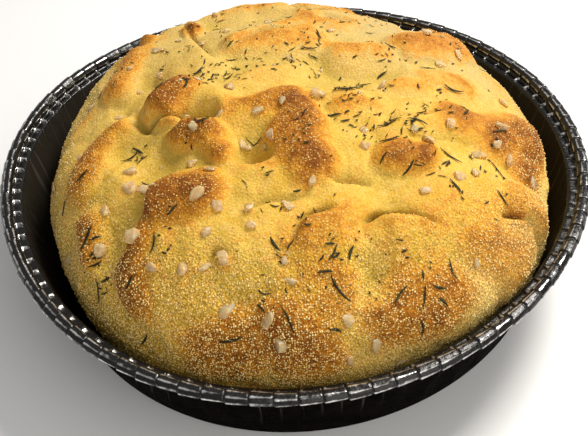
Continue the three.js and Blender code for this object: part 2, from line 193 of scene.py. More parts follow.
# Folds where one sheet of dough lies over the next: the points of the fold, the lip's rise on its
# right hand, the drop on its left, and the reach.
FOLDS = (
    (((21, -73), (27, -69), (33, -68), (40, -68), (48, -71)), 3.0, 8.0, 10),
    (((0, -78), (4, -71), (8, -69), (16, -68)), 2.2, 4.5, 9),
    (((-17, -66), (-12, -64), (-7, -63), (8, -62)), 1.5, 3.0, 7),
    (((12, -55), (19, -56), (28, -57)), 1.8, 3.5, 8),
    (((-56, -13), (-49, -20), (-43, -19), (-36, -19), (-30, -21), (-22, -21)), 0.8, 6.0, 7),
    (((6, 32), (-9, 32), (-14, 27), (-17, 20)), 2.0, 2.5, 8),
    (((-54, -72), (-52, -65), (-48, -58), (-46, -52)), 1.0, 3.5, 8),
    (((-21, -6), (-13, -1), (-7, 2), (5, 5)), 2.0, 2.5, 9),
    (((-42, 56), (-36, 41), (-30, 26), (-25, 14)), 1.5, 3.0, 8),
    (((6, -8), (13, -10), (20, -12), (26, -12)), 1.5, 2.0, 7),
    (((34, -31), (41, -29), (48, -27), (59, -22)), 1.2, 2.0, 7),
    (((68, -62), (74, -60), (79, -60), (86, -64)), 2.0, 6.0, 7),
    (((-27, -83), (-24, -79), (-18, -79)), 1.0, 2.2, 5),
    (((-66, 48), (-50, 54), (-30, 70)), 2.0, 3.0, 9),
    (((50, 68), (34, 76), (20, 76)), 2.0, 3.0, 9),
)


# ---- numbers ----
def wave(terms, angle):
    return sum(c * np.cos(n * angle) + s * np.sin(n * angle) for n, c, s in terms)


def lattice(cell, seed):
    """A repeatable number from 0 to 1 for each whole-number cell of space."""
    mixed = cell[..., 0] * 374761393 + cell[..., 1] * 668265263 + cell[..., 2] * 2147483647 + seed * 974711
    mixed = (mixed ^ (mixed >> 13)) * 1274126177
    return ((mixed ^ (mixed >> 16)) & 0xFFFF) / 0xFFFF


def noise(points, size, seed):
    """Smooth noise from -1 to 1 whose blobs are about "size" across."""
    scaled = points / size
    cell = np.floor(scaled).astype(np.int64)
    part = scaled - cell
    part = part * part * (3 - 2 * part)
    total = np.zeros(len(points))
    for corner in np.ndindex(2, 2, 2):
        weight = np.prod(np.where(corner, part, 1 - part), axis=1)
        total += weight * lattice(cell + np.array(corner), seed)
    return 2 * total - 1


def rough(points, size, seed, octaves=3):
    return sum(noise(points, size / 2**k, seed + k) / 2**k for k in range(octaves))


def smooth_step(low, high, value):
    share = np.clip((value - low) / (high - low), 0, 1)
    return share * share * (3 - 2 * share)


# ---- loaf shape ----
def loaf_point(share, height, angle):
    radius = LOAF_RADIUS * (1 + wave(LOAF_PLAN, angle)) * share
    return np.stack([
        LOAF_CENTRE[0] + radius * np.cos(angle),
        LOAF_CENTRE[1] + radius * np.sin(angle),
        height + 0 * angle,
    ], -1)


def dome_point(tilt, angle):
    share = np.sin(np.maximum(tilt, 0)) ** DOME_FLATNESS
    return loaf_point(share, SHOULDER_HEIGHT + DOME_HEIGHT * np.cos(tilt), angle)


def dome_normal(tilt, angle):
    step = 0.004
    tilt = np.maximum(tilt, 2 * step)
    down = dome_point(tilt + step, angle) - dome_point(tilt - step, angle)
    around = dome_point(tilt, angle + step) - dome_point(tilt, angle - step)
    normal = np.cross(down, around)
    return normal / np.linalg.norm(normal, axis=1, keepdims=True)


def on_dome(x, y):
    angle = math.atan2(y - LOAF_CENTRE[1], x - LOAF_CENTRE[0])
    full = LOAF_RADIUS * (1 + wave(LOAF_PLAN, angle))
    share = min(1.0, math.hypot(x - LOAF_CENTRE[0], y - LOAF_CENTRE[1]) / full)
    height = SHOULDER_HEIGHT + DOME_HEIGHT * math.sqrt(1 - share ** (2 / DOME_FLATNESS))
    return np.array([x, y, height])


def off_line(points, start, end):
    """Distance of each point from a line, and how far along the line it is, from 0 to 1."""
    along = end - start
    share = np.clip((points - start) @ along / max(along @ along, 1e-9), 0, 1)
    return np.linalg.norm(points - start - share[:, None] * along, axis=1), share


def swollen(first, second, soft=1.5):
    """The higher of two heights, rounded where they meet on a lump's flank."""
    meet = np.maximum(soft - np.abs(first - second), 0) ** 2 / (4 * soft)
    return np.maximum(first, second) + meet * smooth_step(0, soft, np.minimum(first, second))


def lumps(points):
    """The height that lumps and hollows give each point, and how brown the lumps make it."""
    height = np.zeros(len(points))
    brown = np.zeros(len(points))
    for start, end, reach, rise, browned in LUMPS:
        distance, _ = off_line(points, on_dome(*start), on_dome(*end))
        inside = np.clip(1 - (distance / reach) ** 2, 0, 1)
        height = swollen(height, rise * inside)
        spot = np.exp(-((distance / (BROWN_REACH * reach)) ** 3))
        brown = np.maximum(brown, BROWN_STRENGTH * browned * spot)
    for start, end, reach, depth in HOLLOWS:
        distance, _ = off_line(points, on_dome(*start), on_dome(*end))
        inside = np.clip(1 - (distance / reach) ** 2, 0, 1)
        height -= depth * inside**HOLLOW_PROFILE
        brown *= 1 - 0.8 * inside
    return height, brown


def drifted(points):
    """The points moved about smoothly, which makes the outlines of what they measure irregular."""
    broad = np.stack([noise(points, BROAD_DRIFT[0], seed) for seed in (61, 62, 63)], -1)
    fine = np.stack([noise(points, FINE_DRIFT[0], seed) for seed in (64, 65, 66)], -1)
    return points + BROAD_DRIFT[1] * broad + FINE_DRIFT[1] * fine


def folds(points):
    """The step that each fold makes, a rounded lip on its front side and a dip behind it, and how much
    painted shade each point gets from lying near the bottom of a deep one."""
    height = np.zeros(len(points))
    fold_shade = np.zeros(len(points))
    for route, lip, drop, reach in FOLDS:
        corners = [on_dome(*place) for place in route]
        best = np.full(len(points), np.inf)
        side = np.zeros(len(points))
        taper = np.zeros(len(points))
        for k, (start, end) in enumerate(zip(corners, corners[1:])):
            distance, share = off_line(points, start, end)
            along = end - start
            offset = points - start
            left = along[0] * offset[:, 1] - along[1] * offset[:, 0]
            nearer = distance < best
            best = np.where(nearer, distance, best)
            side = np.where(nearer, np.sign(left), side)
            taper = np.where(nearer, (k + share) / (len(corners) - 1), taper)
        ends = np.clip(4 * taper * (1 - taper), 0, 1) ** 0.7
        trough = np.exp(-((best / TROUGH_WIDTH) ** 2))
        front = lip * np.exp(-((best / reach) ** 2)) * (1 - trough) - drop * trough
        back = -drop * (0.5 * trough + 0.5 * np.exp(-best / (0.4 * reach)))
        height += ends * np.where(side < 0, front, back)
        line = np.exp(-((best / FOLD_SHADE_WIDTH) ** 2))
        fold_shade = np.maximum(fold_shade, ends * min(1.0, drop / DEEP_FOLD) * line)
    return height, fold_shade


def held_by_pan(points):
    """The pan's wall stops the dough from swelling any further out."""
    angle = np.arctan2(points[:, 1], points[:, 0])
    rise = points[:, 2] / LEDGE_HEIGHT
    wall = (FOOT_RADIUS - FOIL) * (1 - rise) + LEDGE_INNER_RADIUS * rise
    wall = wall * (1 + wave(RIM_PLAN, angle)) - WALL_CLEARANCE
    scale = np.minimum(1, wall / np.hypot(points[:, 0], points[:, 1]))
    return points * np.stack([scale, scale, np.ones_like(scale)], -1)


def disc_map(cells):
    """Lays a square grid over a disc: each point's share of the radius, and its angle."""
    line = np.linspace(-1, 1, cells + 1)
    across, up = np.meshgrid(line, line)
    wide = np.abs(across) > np.abs(up)
    with np.errstate(divide="ignore", invalid="ignore"):
        angle = np.where(wide, np.pi / 4 * up / across, np.pi / 2 - np.pi / 4 * across / up)
    share = np.where(wide, across, up)
    angle = np.where(share == 0, 0, angle)
    angle = np.where(share < 0, angle + np.pi, angle)
    return np.abs(share).ravel(), angle.ravel()


def grid_edge(cells):
    """The grid's border points in order, anticlockwise."""
    n = cells + 1
    bottom = list(range(0, n))
    right = [n * k + cells for k in range(1, n)]
    top = [n * cells + k for k in range(cells - 1, -1, -1)]
    left = [n * k for k in range(cells - 1, 0, -1)]
    return np.array(bottom + right + top + left)


def crust_surface():
    """The loaf's points and faces in millimetres, with each top point's height, browning and painted fold
    shade.
    """
    share, angle = disc_map(TOP_CELLS)
    tilt = share * np.pi / 2
    base = dome_point(tilt, angle)
    normal = dome_normal(tilt, angle)
    height, brown = lumps(drifted(base))
    step, fold_shade = folds(base + 0.5 * (drifted(base) - base))
    height += step
    height += SWELLS[1] * rough(base, SWELLS[0], 3) + RIPPLES[1] * rough(base, RIPPLES[0], 8, 2)
    grain = PIMPLES[1] * noise(base, PIMPLES[0], 21) + GRIT[1] * noise(base, GRIT[0], 22)
    grain *= 0.45 + 0.55 * smooth_step(20, -70, base[:, 1])
    top = held_by_pan(base + normal * (height + grain)[:, None])

    n = TOP_CELLS + 1
    corner = (np.arange(TOP_CELLS)[:, None] * n + np.arange(TOP_CELLS)).ravel()
    faces = [np.stack([corner, corner + 1, corner + n + 1, corner + n], 1)]
    edge = grid_edge(TOP_CELLS)
    edge_angle = angle[edge]
    swell = height[edge]
    outward = np.stack([np.cos(edge_angle), np.sin(edge_angle), 0 * edge_angle], -1)
    rings = []
    for k in range(1, SIDE_RINGS + 1):
        depth = k / SIDE_RINGS
        level = SHOULDER_HEIGHT + (LOAF_BOTTOM + BOTTOM_ROUND - SHOULDER_HEIGHT) * depth
        point = loaf_point(1 - BOTTOM_TAPER * depth**2, level, edge_angle)
        ruffle = RUFFLES[1] * rough(point, RUFFLES[0], 5) + 0.15 * noise(point, 1.6, 21)
        rings.append(held_by_pan(point + outward * (swell * (1 - depth) + ruffle)[:, None]))
    for k in range(1, BOTTOM_RINGS + 1):
        turn = k / BOTTOM_RINGS * np.pi / 2
        inset = BOTTOM_ROUND * (1 - math.cos(turn)) / LOAF_RADIUS
        level = LOAF_BOTTOM + BOTTOM_ROUND * (1 - math.sin(turn))
        rings.append(loaf_point(1 - BOTTOM_TAPER - inset, level, edge_angle))
    points = np.vstack([top] + rings + [loaf_point(np.zeros(1), LOAF_BOTTOM, np.zeros(1))])
    around = len(edge)
    above = edge
    for k in range(len(rings)):
        below = len(top) + k * around + np.arange(around)
        faces.append(np.stack([above, below, np.roll(below, -1), np.roll(above, -1)], 1))
        above = below
    last = len(points) - 1
    fan = np.stack([above, np.full(around, last), np.roll(above, -1)], 1)
    return points, np.vstack(faces), fan, height, brown, fold_shade


def blurred(values, cells, reach):
    """A grid's values averaged over a square "reach" cells each way."""
    grid = values.reshape(cells + 1, cells + 1)
    for axis in (0, 1):
        padded = np.pad(grid, [(reach, reach) if a == axis else (0, 0) for a in (0, 1)], mode="edge")
        total = np.cumsum(padded, axis=axis)
        total = np.insert(total, 0, 0, axis=axis)
        low = np.take(total, np.arange(grid.shape[axis]), axis=axis)
        high = np.take(total, np.arange(grid.shape[axis]) + 2 * reach + 1, axis=axis)
        grid = (high - low) / (2 * reach + 1)
    return grid.ravel()


# ---- meshes ----
def make_mesh(name, points, faces):
    """A mesh object from points in millimetres and lists of faces."""
    mesh = bpy.data.meshes.new(name)
    polygons = [list(map(int, face)) for block in faces for face in block]
    mesh.from_pydata([tuple(p) for p in np.asarray(points) * MM], [], polygons)
    mesh.polygons.foreach_set("use_smooth", [True] * len(mesh.polygons))
    mesh.update()
    piece = bpy.data.objects.new(name, mesh)
    bpy.context.scene.collection.objects.link(piece)
    return piece


def read_vectors(mesh, name):
    """A vector for each of a mesh's points."""
    values = np.zeros(len(mesh.vertices) * 3)
    mesh.vertices.foreach_get(name, values)
    return values.reshape(-1, 3)


def off_middle(points):
    """How far out each point is seen from above, as a share of the loaf's radius."""
    return np.hypot(points[:, 0] - LOAF_CENTRE[0], points[:, 1] - LOAF_CENTRE[1]) / LOAF_RADIUS


def add_values(piece, name, values):
    layer = piece.data.attributes.new(name, "FLOAT", "POINT")
    layer.data.foreach_set("value", np.asarray(values, np.float32))


def make_crust():
    """The loaf, with what its material reads: how browned, hollow and coarse each point is, how much painted
    shade its folds give it, painted light low on its front right edge, and its duller, partly shaded back."""
    points, quads, fan, height, brown, fold_shade = crust_surface()
    piece = make_mesh("focaccia_crust", points, [quads, fan])
    beyond = np.zeros(len(points) - len(height))
    browned = np.concatenate([brown, beyond])
    cavity = height - blurred(height, TOP_CELLS, CAVITY_REACH)
    spread = off_middle(points)
    front = smooth_step(20, -80, points[:, 1])
    right = smooth_step(0, 60, points[:, 0])
    coarse = smooth_step(0.7, 0.97, spread) * (0.35 + 0.65 * front) + 0.12 * front
    coarse += 0.6 * browned * (1 - 0.5 * right)
    coarse *= 1 - 0.3 * right
    add_values(piece, "browned", browned + 0.11 * smooth_step(0, -60, points[:, 1]))
    add_values(piece, "cavity", np.concatenate([cavity, beyond]))
    add_values(piece, "fold_shade", np.concatenate([fold_shade, beyond]))
    add_values(piece, "coarse", np.clip(coarse, 0, 1))
    # painted light low on the front right edge, where the crust curves down into shade
    painted_edge_light = smooth_step(0.88, 1.0, spread) * right * smooth_step(10, -60, points[:, 1])
    add_values(piece, "painted_edge_light", painted_edge_light * np.clip(1 - 1.2 * browned, 0, 1))
    # duller and darker towards the back, more on the right: partly the crust's own tone, partly painted
    # shade where the key light falls most
    add_values(piece, "dull_and_shaded", smooth_step(-40, 45, points[:, 1]) * (0.5 + 0.5 * right))
    return piece


# ---- pan ----
# Where the points lie across one pleat of the rim, close together at the crimp and its fold.
CRIMP_STEPS = (0.0, 0.035, 0.075, 0.13, 0.22, 0.34, 0.48, 0.62, 0.76, 0.86, 0.925, 0.965)
CRIMP_WIDTH = 0.035         # of a pleat
SEAM_WIDTH = 0.06           # crease that runs down the wall from a crimp, of a pleat
SEAM_DEPTH = 0.3
SEAM_SWERVE = 0.3           # how far a crease wanders, of a pleat
DENTS = (7.0, 0.55)         # size and depth of the wall's upright dents
FINE_DENTS = (3.1, 0.3)


def arc_points(centre, radii, first, last, count):
    """Points round part of an oval, from one angle to another in degrees."""
    turns = np.radians(np.linspace(first, last, count))
    return [(centre[0] + radii[0] * math.cos(t), centre[1] + radii[1] * math.sin(t)) for t in turns]


def straight(start, end, count):
    """Points between two points, without the first."""
    return [tuple(np.array(start) + (np.array(end) - start) * k / count) for k in range(1, count + 1)]


def pan_section():
    """The pan's section from the middle of its floor, up the inside, over the roll and down the
    outside: radius and height in millimetres, and each point's part."""
    parts = []

    def add(part, points):
        parts.extend((radius, height, part) for radius, height in points)

    inner_foot = FOOT_RADIUS - FOIL
    add("floor", [(r, FOIL) for r in (30, 60, 80, 92)])
    add("foot", arc_points((inner_foot - 2.6, FOIL + 2.6), (2.6, 2.6), -90, 0, 4))
    add("inside", straight((inner_foot, FOIL + 2.6), (LEDGE_INNER_RADIUS - 0.1, LEDGE_HEIGHT - 1.2), 14))
    lip = LEDGE_INNER_RADIUS + 0.6
    add("lip", [(LEDGE_INNER_RADIUS + 0.15, LEDGE_HEIGHT - 0.5), (lip, LEDGE_HEIGHT - 0.08)])
    add("ledge", straight((lip, LEDGE_HEIGHT), (ROLL_RADIUS - ROLL_HALF_WIDTH, LEDGE_HEIGHT), 5))
    add("roll", arc_points((ROLL_RADIUS, ROLL_HEIGHT), (ROLL_HALF_WIDTH, ROLL_HALF_HEIGHT), 215, -120, 20))
    under = (LEDGE_INNER_RADIUS + 1.5, LEDGE_HEIGHT - FOIL)
    add("under", straight((ROLL_RADIUS - 1.2, LEDGE_HEIGHT), under, 2))
    add("wall", straight((LEDGE_INNER_RADIUS + FOIL, LEDGE_HEIGHT - 1.6), (FOOT_RADIUS, FOOT_ROUND), 14))
    add("foot", arc_points((FOOT_RADIUS - FOOT_ROUND, FOOT_ROUND), (FOOT_ROUND, FOOT_ROUND), -20, -90, 4))
    add("floor", [(r, 0.0) for r in (92, 60, 30)])
    return parts


def pan_surface():
    """The pan's points and faces. For its material, each point also has how far it stands proud,
    and whether it is on the rim or on the inside."""
    pitch = TURN / PLEATS
    share = np.tile(CRIMP_STEPS, PLEATS)
    pleat = np.repeat(np.arange(PLEATS), len(CRIMP_STEPS))
    angle = PLEAT_START + (pleat + share) * pitch
    around = len(angle)
    own = lattice(np.stack([pleat, pleat * 0, pleat * 0], -1), 31) * 2 - 1
    lean = lattice(np.stack([pleat, pleat * 0 + 1, pleat * 0], -1), 31) * 2 - 1
    folded = 0.3 + 0.7 * np.roll(0.5 + 0.5 * own, 5 * len(CRIMP_STEPS))
    from_crimp = np.minimum(share, 1 - share)
    crimp = np.exp(-((from_crimp / CRIMP_WIDTH) ** 2))
    step = 0.5 - share
    flag = np.clip(1 - np.abs(share - 0.11) / 0.17, 0, 1)
    level = np.stack([np.cos(angle), np.sin(angle)], -1)
    oval = 1 + wave(RIM_PLAN, angle)
    warp = wave(RIM_WARP, angle)
    rings = []
    proud = []
    for radius, height, part in pan_section():
        r = np.full(around, radius)
        z = np.full(around, height)
        edge = np.zeros(around)
        circle = level
        if part == "roll":
            away = np.array([radius - ROLL_RADIUS, height - ROLL_HEIGHT])
            turn = math.atan2(away[1], away[0])
            size = 1 - 0.20 * crimp + 0.16 * step + 0.05 * own + 0.06 * np.cos(6 * turn + 1.2 * lean)
            r = ROLL_RADIUS + away[0] * size
            z = ROLL_HEIGHT + away[1] * size
            edge = (0.75 + 0.4 * step) * (1 - crimp) * (0.5 + 0.5 * np.cos(6 * turn + 1.2 * lean)) ** 2
        elif part == "ledge":
            out = (radius - LEDGE_INNER_RADIUS) / (ROLL_RADIUS - ROLL_HALF_WIDTH - LEDGE_INNER_RADIUS)
            fold = np.clip(flag - 0.55 * (1 - out), 0, 1) * (1 - 0.4 * crimp)
            z = z + 1.1 * fold - 0.25 * crimp + 0.12 * own
            edge = 0.4 * np.clip(1 - np.abs(share - 0.3) / 0.45, 0, 1) + 0.5 * fold
        elif part in ("inside", "wall"):
            rise = height / LEDGE_HEIGHT
            along_wall = np.stack([pleat * 4.0, pleat * 0, pleat * 0 + height], -1)
            swerve = SEAM_SWERVE * pitch * noise(along_wall, 9.0, 45)
            around_wall = angle + swerve * smooth_step(1.0, 0.8, rise)
            circle = np.stack([np.cos(around_wall), np.sin(around_wall)], -1)
            seam = np.exp(-((from_crimp / SEAM_WIDTH) ** 2))
            seam = seam * folded * smooth_step(0.5 - 0.7 * folded, 0.85, rise)
            place = np.hstack([radius * circle, np.full((around, 1), height * 0.05)])
            dent = 1 - np.abs(noise(place, DENTS[0], 41))
            fine = 1 - np.abs(noise(place * np.array([1, 1, 2]), FINE_DENTS[0], 43))
            relief = DENTS[1] * dent**3 + FINE_DENTS[1] * fine**3 - 0.3
            r = r + relief * smooth_step(0.0, 0.3, rise) * (1 - 0.3 * rise)
            r = r + SEAM_DEPTH * seam
            edge = seam
        bent = r * oval
        z = z + warp * (z / PAN_HEIGHT) ** 2
        rings.append(np.stack([bent * circle[:, 0], bent * circle[:, 1], z], -1))
        proud.append(edge)
    points = np.vstack([np.array([[0, 0, FOIL]])] + rings + [np.zeros((1, 3))])
    parts = [part for _, _, part in pan_section()]
    middle = np.zeros(1)
    values = np.concatenate([middle] + proud + [middle])
    on_rim = [part in ("roll", "ledge", "lip") for part in parts]
    rim = np.concatenate([middle, np.repeat(on_rim, around), middle])
    inside = np.concatenate([middle, np.repeat([part == "inside" for part in parts], around), middle])
    first = 1 + np.arange(around)
    quads = []
    for k in range(len(rings) - 1):
        above, below = first + k * around, first + (k + 1) * around
        quads.append(np.stack([above, np.roll(above, -1), np.roll(below, -1), below], 1)[:, ::-1])
    last_ring = first + (len(rings) - 1) * around
    ends = [np.stack([np.zeros(around, int), first, np.roll(first, -1)], 1),
            np.stack([last_ring, np.full(around, len(points) - 1), np.roll(last_ring, -1)], 1)]
    return points, quads + ends, values, rim, inside


def make_pan():
    points, faces, proud, rim, inside = pan_surface()
    piece = make_mesh("foil_pan", points, faces)
    add_values(piece, "proud", proud)
    add_values(piece, "rim", rim)
    add_values(piece, "inside", inside)
    return piece


# ---- salt and herbs ----
GRAINS = 18000              # of semolina

# Smaller salt crystals, beside the CAD part's own: place on the crust seen from above, and width.
SMALL_SALT = (
    (-75, 10, 4), (-59, 19, 3.5), (-31, -3, 3.5), (-19, -10, 4), (-15, -35, 4), (-12, -73, 4),
    (-27, -83, 4), (-44, -79, 4), (27, -34, 4), (44, -36, 4), (58, -81, 3.5), (57, -31, 4),
    (24, -103, 4.5), (16, -106, 4), (32, -102, 4), (85, -43, 4.5), (-9, -25, 4), (0, -23, 4),
    (-31, -32, 4), (-34, -23, 3.5), (-22, -23, 3.5), (-7, -38, 3), (66, -40, 5), (69, 20, 4.5),
    (57, 27, 4.5), (3, 12, 3.5), (-22, 39, 4), (-1, -90, 4), (-2, -85, 3.5), (16, -100, 4.5),
    (73, -36, 4), (-13, -36, 2.5), (-62, -4, 3.5), (-55, 8, 3), (-3, 2, 3), (20, 34, 3.5),
)

SCATTERED_CRYSTALS = 12     # on the back, beyond those listed
CRUMBS = 26                 # broken salt

# Smaller herb needles: place, length and heading in degrees.
SMALL_HERBS = (
    (-31, 7, 5, 45), (-19, 14, 5, 10), (37, 3, 5, 40), (30, -4, 5, 0), (17, -28, 6, 5), (55, -58, 7, -60),
    (32, -49, 5, 50), (0, -81, 4, 45), (-5, -80, 6, -60), (46, -93, 4, -40), (45, -90, 5, -10),
    (10, -89, 5, 0), (18, -83, 5, 85), (13, -84, 6, 70), (-10, -96, 4, -60), (-20, -101, 8, 20),
    (-66, -65, 5, 30), (-81, -36, 6, 50), (-37, -65, 5, 45), (-48, -45, 5, -40), (-52, -27, 6, -45),
    (-72, -34, 6, 35), (-62, -72, 4, 10), (-52, -80, 5, 55), (-65, -73, 8, 60), (71, -58, 7, -60),
    (-49, -90, 6, 45), (39, -99, 5, -70), (12, -102, 4, -25), (-9, -92, 4, -20), (64, -24, 5, 50),
    (75, -30, 6, 15), (42, 17, 5, -35), (62, -9, 8, -20), (-44, -8, 5, 60), (-28, -30, 5, 20),
)

FLAKES_WITHIN = 97          # no rubbed herb lies further out than this

# Pinches of rubbed herb: middle, spread and number of flakes.
PINCHES = (
    (-30, 2, 9, 34), (-18, 4, 12, 36), (5, 12, 16, 34), (-38, 24, 9, 14), (32, -34, 9, 30), (44, -32, 9, 26),
    (22, -22, 10, 22), (30, -8, 12, 20), (38, 12, 14, 18), (56, -24, 12, 20), (68, -40, 10, 14),
    (48, -48, 10, 16), (-53, -30, 4, 10), (-67, -62, 4, 18), (-40, -70, 6, 8), (14, -84, 5, 10),
    (42, -92, 6, 12), (0, -80, 16, 14), (-8, -98, 12, 10), (-30, -30, 10, 14), (4, -36, 10, 14),
    (-62, -74, 8, 10), (70, -64, 12, 8), (-6, -56, 16, 12), (28, -84, 14, 10), (-30, 60, 26, 40),
    (30, 56, 26, 40), (-66, 20, 14, 14), (70, 20, 14, 14), (0, 30, 34, 36),
)


class Crust:
    """The finished crust, for laying things on it."""

    def __init__(self, piece):
        mesh = piece.data
        corners = [tuple(p) for p in read_vectors(mesh, "co") / MM]
        self.tree = BVHTree.FromPolygons(corners, [tuple(face.vertices) for face in mesh.polygons])

    def nearest(self, place):
        point = self.tree.find_nearest(Vector(place))[0]
        return np.array(point), self.upright(point)

    def below(self, x, y):
        """The crust's point under a place seen from above, or beside it past the loaf's edge."""
        point = self.tree.ray_cast(Vector((x, y, 200)), Vector((0, 0, -1)))[0]
        if point is None:
            return self.nearest(on_dome(x, y))
        return np.array(point), self.upright(point)

    def upright(self, point, span=1.2):
        """The crust's direction outwards, averaged over a patch round the point."""
        total = Vector((0, 0, 0))
        for _, normal, _, _ in self.tree.find_nearest_range(point, span):
            total += normal
        return np.array(total.normalized())


def facing(normal, turn):
    """The rotation that lays +Z on the normal after a turn about it."""
    lay = Vector((0, 0, 1)).rotation_difference(Vector(normal)).to_matrix()
    return np.array(lay @ Matrix.Rotation(turn, 3, "Z"))


def crystal_mesh(size, dice):
    """One rough salt crystal about its own middle: the hull of points thrown on a worn block."""
    shape = bmesh.new()
    for _ in range(15):
        way = dice.normal(size=3)
        way /= np.linalg.norm(way)
        block = way / np.max(np.abs(way)) ** 0.75
        shape.verts.new(block * size / 2 * dice.uniform(0.82, 1.08))
    made = bmesh.ops.convex_hull(shape, input=shape.verts)
    bmesh.ops.delete(shape, geom=[v for v in made["geom_interior"] if v.is_valid], context="VERTS")
    bmesh.ops.dissolve_limit(shape, angle_limit=math.radians(14), verts=shape.verts, edges=shape.edges)
    bmesh.ops.bevel(shape, geom=list(shape.edges), offset=0.13 * float(min(size)), segments=3,
                    affect="EDGES", profile=0.5, clamp_overlap=True)
    bmesh.ops.triangulate(shape, faces=shape.faces)
    shape.verts.index_update()
    points = np.array([tuple(v.co) for v in shape.verts])
    faces = [tuple(v.index for v in face.verts) for face in shape.faces]
    shape.free()
    return points, faces


def laid_crystal(crust, place, width, dice):
    """A crystal lying on the crust where it comes nearest to a place, sunk a little into it."""
    point, normal = crust.nearest(place)
    size = width * np.array([dice.uniform(0.95, 1.2), dice.uniform(0.7, 0.95), dice.uniform(0.34, 0.5)])
    points, faces = crystal_mesh(size, dice)
    turned = points @ facing(normal, dice.uniform(0, TURN)).T
    return turned + point + normal * size[2] * 0.26, faces


def make_salt(crust, dice, material):
    """A crystal in the place of each of the CAD part's crystals, and the smaller ones."""
    for node in sorted(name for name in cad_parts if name.startswith("salt_")):
        low, high = (np.array(corner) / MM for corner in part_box(node))
        width = float(np.sort(high - low)[1:].mean()) * 1.2
        points, faces = laid_crystal(crust, (low + high) / 2, width, dice)
        piece = make_mesh(node.replace("salt", "salt_crystal"), points, [faces])
        finish(piece, material, "salt", node)
    small = []
    for x, y, width in SMALL_SALT:
        small.append(laid_crystal(crust, crust.below(x, y)[0], width, dice))
    for _ in range(SCATTERED_CRYSTALS):
        x, y = dice.uniform(-70, 70), dice.uniform(24, 84)
        if math.hypot(x, y) < 86:
            small.append(laid_crystal(crust, crust.below(x, y)[0], dice.uniform(2.5, 5.5), dice))
    for _ in range(CRUMBS):
        x, y = dice.normal(0, 42, 2)
        if math.hypot(x, y) < 92:
            small.append(laid_crystal(crust, crust.below(x, y)[0], dice.uniform(0.8, 1.9), dice))
    finish_joined("small_salt", small, material, "salt")


def make_grains(loaf, dice, material):
    """Grains of semolina baked on, thick on the sides and thin over the top."""
    mesh = loaf.data
    places = read_vectors(mesh, "co") / MM
    browned = np.zeros(len(places))
    mesh.attributes["browned"].data.foreach_get("value", browned)
    spread = off_middle(places)
    front = smooth_step(30, -80, places[:, 1])
    right = smooth_step(0, 60, places[:, 0])
    share = 0.04 + smooth_step(0.62, 0.97, spread) * (0.25 + front) + 0.3 * browned * (1 - 0.7 * right)
    share += 0.06 * front + 0.2 * noise(places, 9, 71)
    share = np.clip(share, 0.02, None) * (1 - 0.4 * right) * (places[:, 2] > 14)
    chosen = dice.choice(len(places), GRAINS, replace=False, p=share / share.sum())
    normal = read_vectors(mesh, "normal")[chosen]
    centre = places[chosen] + dice.normal(0, 0.12, (GRAINS, 3))
    half = (dice.uniform(0.1, 0.24, GRAINS) * (1 + 0.6 * smooth_step(0.6, 0.95, spread[chosen])))[:, None]
    first = np.cross(normal, dice.normal(size=(GRAINS, 3)))
    first /= np.linalg.norm(first, axis=1, keepdims=True)
    second = np.cross(normal, first)
    long = half * dice.uniform(1.0, 1.5, GRAINS)[:, None]
    rise = centre + normal * half * 0.9
    sink = centre - normal * half
    ring = (centre + first * long, centre + second * half, centre - first * half, centre - second * long)
    points = np.stack([rise, *ring, sink], 1).reshape(-1, 3)
    upper = [(0, 1, 2), (0, 2, 3), (0, 3, 4), (0, 4, 1)]
    lower = [(5, 2, 1), (5, 3, 2), (5, 4, 3), (5, 1, 4)]
    pattern = np.array(upper + lower)
    faces = (np.arange(GRAINS)[:, None, None] * 6 + pattern).reshape(-1, 3)
    finish(make_mesh("semolina_grains", points, [faces]), material, "crust")


def needle_mesh(crust, route, width, thickness, curl, steps=9):
    """A dried needle that lies on the crust along a route and tapers to both ends."""
    rings = []
    for k in range(steps + 1):
        share = k / steps
        ahead = route(min(1, share + 0.05)) - route(max(0, share - 0.05))
        point, normal = crust.nearest(route(share))
        across = np.cross(normal, ahead)
        across /= np.linalg.norm(across)
        half = width / 2 * (0.12 + math.sin(math.pi * min(1, 0.08 + 0.92 * share)) ** 0.7)
        lift = 0.12 + curl * (2 * share - 1) ** 2
        middle = point + normal * (lift + thickness / 2)
        rings.append([middle + across * half + normal * 0.18 * width, middle - normal * thickness / 2,
                      middle - across * half + normal * 0.18 * width, middle + normal * thickness / 2])
    points = np.array(rings).reshape(-1, 3)
    faces = [(0, 1, 2, 3), tuple(4 * steps + k for k in (3, 2, 1, 0))]
    for k in range(steps):
        for side in range(4):
            nxt = (side + 1) % 4
            faces.append((4 * k + side, 4 * k + 4 + side, 4 * k + 4 + nxt, 4 * k + nxt))
    return points, faces


def line_route(crust, x, y, length, heading, bend):
    """A bent route over the crust: its middle seen from above, its length, and its heading."""
    middle, normal = crust.below(x, y)
    ahead = np.array([math.cos(heading), math.sin(heading), 0])
    ahead -= normal * (ahead @ normal)
    ahead /= np.linalg.norm(ahead)
    aside = np.cross(normal, ahead)
    return lambda t: middle + (t - 0.5) * length * ahead + bend * length * (t - 0.5) ** 2 * aside


def bowed(start, middle, end):
    """A curve through three points."""
    pull = 2 * middle - (start + end) / 2
    return lambda t: (1 - t) ** 2 * start + 2 * t * (1 - t) * pull + t * t * end


